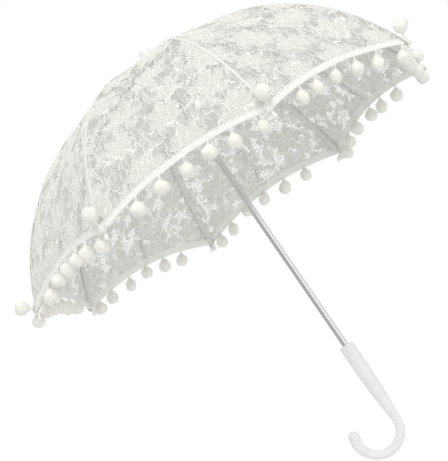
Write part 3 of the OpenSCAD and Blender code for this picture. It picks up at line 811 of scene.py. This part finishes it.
# ---- Hem tape: an ivory ribbon with a fine crosswise rib, folded over the lace's cut edge and
# gathered, doubled where it turns the corner at each rib tip.
ribbon = Finish("ivory_ribbon", Specular_IOR_Level=0.3, Sheen_Weight=0.25, Subsurface_Weight=0.1,
                Subsurface_Radius=(0.003, 0.003, 0.003), Subsurface_Scale=0.3)
ribbon.let_through(0.10, (0.98, 0.96, 0.90))
ribbon_place = ribbon.node("ShaderNodeUVMap", uv_map="ribbon")[0]
ribs = ribbon.node("ShaderNodeTexWave", {
    "Vector": ribbon_place, "Scale": 400.0, "Distortion": 0.6, "Detail": 1.0, "Detail Scale": 3.0},
    wave_type="BANDS", bands_direction="X")[1]
rumple = ribbon.speckle(130.0, 3.0, 0.6, on=ribbon_place)
ribbon.feed(Base_Color=ribbon.mix(rumple, (0.945, 0.938, 0.895), (0.985, 0.982, 0.955)),
            Roughness=0.50 + rumple * 0.2,
            Normal=ribbon.relief(ribs * 0.30 + rumple * 0.8, 0.7, 0.0005))
TAPE_ROWS = 18
TAPE_HALF_THICKNESS, CORNER_EXTRA = 0.00085, 0.0009
GORE_HALF_WIDTH = 0.107


def ripple(draw, x, waves, share):
    """A sum of sine waves over x, each with a random size and phase."""
    return sum(draw.uniform(0.5, 1.0) * np.sin(x * wave + draw.uniform(0, 6.28)) for wave in waves) / share


for i in every_rib:
    draw = np.random.default_rng(60 + i)
    across = np.concatenate([[-1.03], np.linspace(-1, -0.1, 90), np.linspace(-0.09, 0.09, 31),
                             np.linspace(0.1, 1, 90), [1.03]])
    flat_x = across * GORE_HALF_WIDTH
    pucker = ripple(draw, flat_x, (520, 830, 1270), 2)
    edge = ripple(draw, flat_x, (300, 690, 1390), 1.4)
    corner = np.exp(-(across / 0.055) ** 2)
    low_s = reach(hem_height(np.clip(across, -1, 1)))
    width = TAPE_WIDTH * (1 + 0.05 * edge + 0.10 * corner)
    thick = TAPE_HALF_THICKNESS + 0.00022 * pucker + CORNER_EXTRA * corner
    thick *= np.where(np.abs(across) > 1, 0.75, 1.0)
    sections = []
    for k in range(TAPE_ROWS):
        angle = math.tau * k / TAPE_ROWS
        out = math.copysign(abs(math.sin(angle)) ** 0.6, math.sin(angle))
        rise = (1 - math.cos(angle)) / 2
        off_lace = out * thick * (1 - 0.35 * rise) + 0.00025 * pucker * rise
        sections.append(cloth(low_s - width * rise, across, off_lace, i))
    tape = swept(np.stack(sections, axis=1), ribbon, f"hem_tape_{i}")
    lay_uv(tape, "ribbon", np.stack([np.repeat(flat_x, TAPE_ROWS),
                                     np.tile(np.arange(TAPE_ROWS) * 0.001, len(across))], axis=-1))
    where, lie = lie_along(cloth(low_s - width * 0.86, across, 0.0013, i), TAPE_STITCH)
    stitch_maker.make(points_piece(f"tape_stitches_{i}", where, lie=lie), sewn)

# ---- Corner folds: at each rib tip the ribbon's end is turned back over the tape and caught down, and
# a cut end stands out below the corner.
FOLD_STEPS, FOLD_SIDES, FOLD_HALF_WIDTH = 37, 12, 0.0042
CORNER_S = reach(TIP_HEIGHT + HEM_AT_RIB)
# Path over the tape, as distance up the rib, distance off the lace and sideways lean.
fold_path = ((0.0100, 0.0008, 0.0), (0.0085, 0.0024, 0.0), (0.0050, 0.0030, 0.0), (0.0015, 0.0030, 0.0),
             (-0.0008, 0.0020, 0.1), (-0.0016, 0.0002, 0.2), (-0.0012, -0.0018, 0.35),
             (-0.0030, -0.0030, 0.6), (-0.0055, -0.0026, 0.85), (-0.0078, -0.0014, 1.0))
up, off, lean = (np.interp(np.linspace(0, 9, FOLD_STEPS), range(10), column) for column in zip(*fold_path))
for column in (up, off):
    column[1:-1] = np.convolve(column, (0.25, 0.5, 0.25), "valid")
for i in every_rib:
    draw = random.Random(80 + i)
    skew, tail = draw.uniform(-0.0022, 0.0022), draw.choice((-1, 1)) * draw.uniform(0.004, 0.007)
    sections = []
    for k in range(FOLD_SIDES):
        angle = math.tau * k / FOLD_SIDES
        wide = FOLD_HALF_WIDTH * math.copysign(abs(math.cos(angle)) ** 0.5, math.cos(angle))
        side = wide * (1 - 0.25 * lean) + skew * (1 - lean) + tail * lean
        thick = 0.00045 * math.sin(angle)
        crimp = 0.0003 * np.sin(wide * 1500 + np.arange(FOLD_STEPS) * 0.35 + i)
        sections.append(cloth(CORNER_S - up + 0.12 * wide * lean, across_for(side, CORNER_S - up),
                              off + thick + crimp, i))
    fold = swept(np.stack(sections, axis=1)[:, ::-1], ribbon, f"corner_fold_{i}")
    lay_uv(fold, "ribbon", np.stack([np.repeat(np.arange(FOLD_STEPS) * 0.0008, FOLD_SIDES),
                                     np.tile(np.arange(FOLD_SIDES) * 0.0008, FOLD_STEPS)], axis=-1))

# ---- Pompoms: balls of satin thread, drawn to a point and hung from the hem tape by a frayed neck.
# Six hang along each rib's share of the hem, and a seventh at the rib tip is thrown up outside.
POM_DIAMETER = 0.0165
pom_maker = Maker("pompoms", Diameter=POM_DIAMETER, Thread=0.0055, Lumps=0.0021, Seed=5)
ball, ball_uv = pom_maker.node("GeometryNodeMeshUVSphere", {
    "Segments": 24, "Rings": 16, "Radius": pom_maker.given("Diameter") * 0.5})
ball = pom_maker.node("GeometryNodeStoreNamedAttribute", {
    "Geometry": ball, "Name": "wound", "Value": ball_uv}, data_type="FLOAT2", domain="CORNER")[0]
x, y, z = pom_maker.node("ShaderNodeSeparateXYZ", {0: pom_maker.node("GeometryNodeInputPosition")[0]})
high = z / (pom_maker.given("Diameter") * 0.5)
drawn = high.between(0.55, 1.0)
narrow = 1.0 - drawn * 0.34 - high * 0.03
egg = pom_maker.node("ShaderNodeCombineXYZ", {
    0: x * narrow, 1: y * narrow, 2: z * 1.02 + drawn * pom_maker.given("Diameter") * 0.10})[0]
ball = pom_maker.node("GeometryNodeSetPosition", {"Geometry": ball, "Position": egg})[0]
thread = pom_maker.given("Thread")
ball = pom_maker.lowered(ball, thread + pom_maker.given("Diameter") * 0.5)
neck = pom_maker.node("GeometryNodeMeshCone", {
    "Vertices": 10, "Side Segments": 4, "Radius Top": 0.0016, "Radius Bottom": 0.0010,
    "Depth": thread})[0]
pom = pom_maker.node("GeometryNodeJoinGeometry", {0: [pom_maker.lowered(neck, thread), ball]})[0]
poms = pom_maker.node("GeometryNodeInstanceOnPoints", {
    "Points": pom_maker.given("Geometry"), "Instance": pom, "Rotation": pom_maker.attribute("hang"),
    "Scale": pom_maker.attribute("size")})[0]
poms = pom_maker.node("GeometryNodeRealizeInstances", {0: poms})[0]
lumps = pom_maker.node("ShaderNodeTexNoise", {
    "Vector": pom_maker.node("GeometryNodeInputPosition")[0], "W": pom_maker.given("Seed") * 1.0,
    "Scale": 150.0, "Detail": 2.0}, noise_dimensions="4D")[0]
facing = pom_maker.node("GeometryNodeInputNormal")[0]
swell = pom_maker.node("ShaderNodeVectorMath", {
    0: facing, "Scale": (lumps - 0.5) * pom_maker.given("Lumps") * 2.0}, operation="SCALE")[0]
pom_maker.end(pom_maker.node("GeometryNodeSetPosition", {"Geometry": poms, "Offset": swell})[0])

satin = Finish("satin_cotton", Specular_IOR_Level=0.45, Sheen_Weight=0.35, Sheen_Roughness=0.35,
               Subsurface_Weight=0.15, Subsurface_Radius=(0.004, 0.0035, 0.003), Subsurface_Scale=0.4)
wound = satin.node("ShaderNodeUVMap", uv_map="wound")[0]
threads = satin.speckle(48.0, 3.0, 0.65, stretch=(1.0, 0.045, 1.0), on=wound)
bunches = satin.speckle(230.0)
satin.feed(Base_Color=satin.mix(threads * 0.6 + bunches * 0.4, (0.84, 0.83, 0.775), (0.98, 0.972, 0.925)),
           Roughness=0.42 + bunches * 0.22, Normal=satin.relief(threads + bunches * 0.5, 0.85, 0.0008))
POMS_PER_GORE = 7
POM_SHIFT = 0.19              # of the row along the hem, as a share of half a gore
CORNER_CLEAR = 0.07           # more of it for the pompom next to a far corner
THREAD, THREAD_MORE = 0.0045, 0.0035
LONG_THREADS = math.radians(-20)     # direction from the shaft in which the threads are longest
STRAIGHT_DOWN = Vector((0, 0, -1))
SAG = Vector((-0.567, 0.132, -0.813))     # the way the pompoms hang as the parasol is held
# Rise of each corner's pompom, for its run away from the shaft.
flung = {1: 3.0, 2: 3.0, 3: 3.0, 4: 2.0, 5: 0.6, 6: 4.0, 7: 1.45, 8: 3.0}
for i in every_rib:
    draw = random.Random(30 + i)
    angle = rib_turn[i]
    spots, turns, sizes = [], [], []
    for k in range(-4, 3):
        at_tip = k == 0
        across = 0.0 if at_tip else 2 * k / POMS_PER_GORE + POM_SHIFT + draw.uniform(-0.02, 0.02)
        if k == -1 and math.sin(angle) > 0:
            across -= CORNER_CLEAR
        up = 0.0060 if at_tip else draw.uniform(0.0006, 0.0036)
        s = reach(hem_height(across) + up)
        spot = cloth(np.array([s]), np.array([across]), 0.0018 if at_tip else 0.0, i)[0]
        if at_tip:
            away = Vector((math.cos(angle), math.sin(angle), flung[i]))
        else:
            away = STRAIGHT_DOWN.lerp(SAG, 0.68 + draw.uniform(-0.12, 0.12))
        away += Vector([draw.uniform(-0.12, 0.12) for _ in range(3)])
        spin = Matrix.Rotation(draw.uniform(0, math.tau), 3, "Z").to_quaternion()
        turn = away.to_track_quat("-Z", "Y") @ spin
        spots.append(spot)
        turns.append(tuple(turn.to_euler()))
        wide = draw.uniform(0.92, 1.10)
        sizes.append((wide, wide * draw.uniform(0.88, 1.0), draw.uniform(0.86, 1.04)))
    poms_piece = points_piece(f"pompoms_{i}", spots, hang=turns, size=sizes)
    longer = max(0.0, -math.sin(angle), 0.9 * math.cos(angle - LONG_THREADS))
    pom_maker.make(poms_piece, satin, Seed=5 + i, Thread=THREAD + THREAD_MORE * longer)
    sewn_on = [bpy.data.objects[f"{word}_{i}"] for word in (
        "lace_cords", "rib_seam", "seam_stitches", "rib_channel_upper", "rib_channel_lower", "hem_tape",
        "corner_fold", "tape_stitches", "pompoms")]
    lace_piece = bpy.data.objects[f"lace_gores_{i}"]
    for piece in [lace_piece] + sewn_on:
        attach(piece, f"rib_{i}")
        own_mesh(piece)
    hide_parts(f"canopy_panel_{i}")
    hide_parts(f"pompom_trim_{i}")

# ---- Crown rosette: a collar of closer lace clamped between the ferrule and the notch, and a ruffle
# of eight petals round it, sewn to the gores' top ends, which droops with them when the ribs fold.
PATCH_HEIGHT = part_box("crown_patch")[0][2]
RUFFLE_START, RUFFLE_NOTCH, RUFFLE_PETAL, RUFFLE_THICK = 0.0108, 0.0180, 0.0048, 0.0005
around = np.linspace(0, math.tau, 96, endpoint=False)
# Outline of the collar: radius, and height over the crown patch's underside.
collar_loop = [(0.0043, 0.0), (0.0080, 0.0001), (0.0115, 0.0), (0.0121, 0.0003), (0.0115, 0.0007),
               (0.0080, 0.0008), (0.0043, 0.0007)]
sections = []
for angle in around:
    wave = 1 + 0.03 * math.sin(12 * angle)
    sections.append([(r * wave * math.cos(angle), r * wave * math.sin(angle), PATCH_HEIGHT + up)
                     for r, up in collar_loop])
crown_collar = swept(sections, sewn, "crown_collar", looped=True)
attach(crown_collar, "shaft")
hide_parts("crown_patch")
for i in every_rib:
    spread = np.linspace(-STEP / 2 * 1.03, STEP / 2 * 1.03, 27)
    sections = []
    for turned in spread:
        petal = math.cos(turned / STEP * math.pi * 0.92) ** 0.35
        radii = np.linspace(RUFFLE_START, RUFFLE_NOTCH + RUFFLE_PETAL * petal, 12)
        share = (radii - radii[0]) / 0.012
        flute = 0.00045 * share * np.sin(turned * 16 + 3 * share) + 0.0003 * share
        base = PATCH_HEIGHT + 0.0002 + 0.0001 * np.cos(turned / STEP * math.tau)
        ring = [(r, base + lift + RUFFLE_THICK) for r, lift in zip(radii, flute)]
        ring += [(r, base + lift) for r, lift in zip(radii[::-1], flute[::-1])]
        angle = rib_turn[i] + turned
        sections.append([(r * math.cos(angle), r * math.sin(angle), z) for r, z in ring])
    ruffle = swept(sections, sewn, f"crown_ruffle_{i}")
    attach(ruffle, f"rib_{i}")
    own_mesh(ruffle)

# ---- Stage and light: a white paper floor that shows plain white to the camera, and clear from below,
# under a white sky. A key lamp stands over the camera's left shoulder and a weaker one to its right.
FLOOR_HEIGHT, FLOOR_HALF = -0.75, 12
paper = Finish("studio_paper", Base_Color=(0.86, 0.86, 0.86), Roughness=0.9)
floor_corners = [(x * FLOOR_HALF, y * FLOOR_HALF, FLOOR_HEIGHT)
                 for x, y in ((-1, -1), (1, -1), (1, 1), (-1, 1))]
floor = new_piece("studio_floor", floor_corners, [(0, 1, 2, 3)], paper)
floor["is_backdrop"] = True


def ray_kinds(recipe):
    """The light path's outputs by name."""
    return {wire.socket.name: wire for wire in recipe.node("ShaderNodeLightPath")}


plain = paper.node("ShaderNodeEmission", {"Color": (1, 1, 1), "Strength": 1.0})[0]
clear = paper.node("ShaderNodeBsdfTransparent")[0]
from_below = paper.node("ShaderNodeNewGeometry")[6]
above = paper.blend(ray_kinds(paper)["Is Camera Ray"], Wire(paper, paper.shader.outputs[0]), plain)
paper.show(paper.blend(from_below, above, clear))

world = bpy.data.worlds.new("studio")
bpy.context.scene.world = world
world.use_nodes = True
sky = Recipe(world.node_tree)
direction = sky.node("ShaderNodeTexCoord")[0]


def glow_across(axis, stops, strength):
    """A background whose grey or colour runs through stops from one end of an axis to the other."""
    share = sky.node("ShaderNodeVectorMath", {0: direction, 1: axis}, operation="DOT_PRODUCT")[1]
    share = sky.node("ShaderNodeMapRange", {"Value": share, "From Min": -1.0})[0]
    colour = sky.node("ShaderNodeValToRGB", {0: share})[0]
    ramp = colour.socket.node.color_ramp
    while len(ramp.elements) < len(stops):
        ramp.elements.new(1.0)
    for element, (spot, tint) in zip(ramp.elements, stops):
        element.position, element.color = spot, (*tint, 1.0)
    return sky.node("ShaderNodeBackground", {"Color": colour, "Strength": strength})[0]


lighting = glow_across(view_up * 0.6 - view_right * 0.8,
                       ((0.30, (0.34, 0.345, 0.36)), (0.75, (1.0, 0.995, 0.98))), 0.95)
# What the chrome mirrors: dark walls, with one bright panel for the tube's highlight.
panels = ((0.0, 0.46), (0.34, 0.46), (0.50, 0.52), (0.56, 1.9), (0.60, 1.9), (0.68, 0.74), (1.0, 0.86))
reflected = glow_across(view_right * 0.84 + view_up * 0.54,
                        [(spot, (level,) * 3) for spot, level in panels], 1.0)
seen = sky.node("ShaderNodeBackground", {"Color": (1, 1, 1), "Strength": 1.0})[0]
rays = ray_kinds(sky)
lit = sky.blend(rays["Is Glossy Ray"], lighting, reflected)
sky.node("ShaderNodeOutputWorld", {"Surface": sky.blend(rays["Is Camera Ray"], lit, seen)})

LAMP_TARGET, LAMP_DISTANCE = Vector((0.0, 0.0, 0.26)), 2.0
for name, toward, size, power, tint in (
        ("key_light", view_up * 1.0 + view_back * 0.75 - view_right * 0.25, 1.6, 13.5, (1.0, 0.99, 0.97)),
        ("side_light", view_right * 0.9 + view_back * 0.5 + view_up * 0.1, 1.4, 5.0, (1.0, 1.0, 1.0))):
    lamp_data = bpy.data.lights.new(name, "AREA")
    lamp_data.shape, lamp_data.size, lamp_data.energy, lamp_data.color = "DISK", size, power, tint
    lamp = linked(name, lamp_data)
    lamp.location = LAMP_TARGET + toward.normalized() * LAMP_DISTANCE
    lamp.rotation_mode = "QUATERNION"
    lamp.rotation_quaternion = toward.to_track_quat("Z", "Y")
bpy.context.scene.view_settings.view_transform = "Standard"

low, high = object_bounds()
